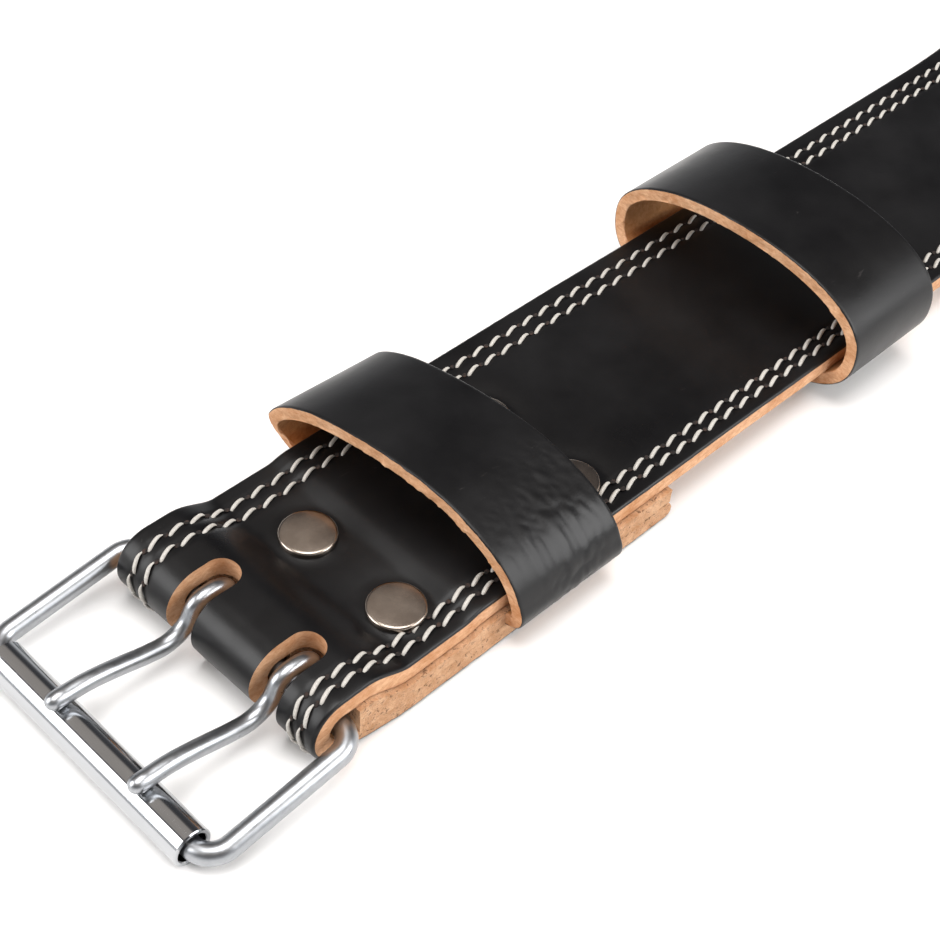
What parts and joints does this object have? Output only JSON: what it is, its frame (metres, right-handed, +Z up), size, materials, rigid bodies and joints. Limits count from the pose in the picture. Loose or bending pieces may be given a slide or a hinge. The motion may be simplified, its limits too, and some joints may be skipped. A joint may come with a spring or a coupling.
{
  "type": "weightlifting belt",
  "caption": "Tapered leather belt, wide at the back, with a two-prong roller buckle, a fixed and a sliding keeper loop, and punched holes in its tongue.",
  "frame": {"origin": "on the resting surface, under the middle of the wide back panel, on the belt's centre line", "axes": "+X along the belt from the buckle to the tongue, +Y across the belt to the left of the tongue, +Z up through the finished face"},
  "size_m": [1.0647, 0.1, 0.0338],
  "materials": {
    "strap_leather": "black finished top grain, tan cut edges, rough flesh side, off-white stitching",
    "keeper_leather": "black finished top grain, tan cut edges with loose fibres",
    "nickel": "nickel-plated steel, bright rolled rim",
    "plated_wire": "zinc-plated steel wire",
    "roller_chrome": "bright rolled tube"
  },
  "bodies": {
    "belt": {"strap": "strap_leather", "keeper_fixed": "keeper_leather", "keeper_sliding": "keeper_leather", "rivet_fold_left": "nickel", "rivet_fold_right": "nickel", "rivet_keeper_left": "nickel", "rivet_keeper_right": "nickel"},
    "frame": {"buckle_frame": "plated_wire"},
    "roller": {"buckle_roller": "roller_chrome"},
    "left_prong": {"prong_left": "plated_wire"},
    "right_prong": {"prong_right": "plated_wire"}
  },
  "joints": [
    {"name": "frame_hinge", "type": "hinge", "parent": "belt", "child": "frame", "pos_m": [-0.515, 0, 0.0084], "axis": [0, 1, 0], "range_deg": [0, 60]},
    {"name": "roller_spin", "type": "hinge", "parent": "frame", "child": "roller", "pos_m": [-0.5508, 0, 0.00431], "axis": [0, 1, 0], "continuous": true},
    {"name": "left_prong_hinge", "type": "hinge", "parent": "frame", "child": "left_prong", "pos_m": [-0.515, 0.0098, 0.0084], "axis": [0, 1, 0], "range_deg": [0, 65]},
    {"name": "right_prong_hinge", "type": "hinge", "parent": "frame", "child": "right_prong", "pos_m": [-0.515, -0.0156, 0.0084], "axis": [0, 1, 0], "range_deg": [0, 65]}
  ]
}
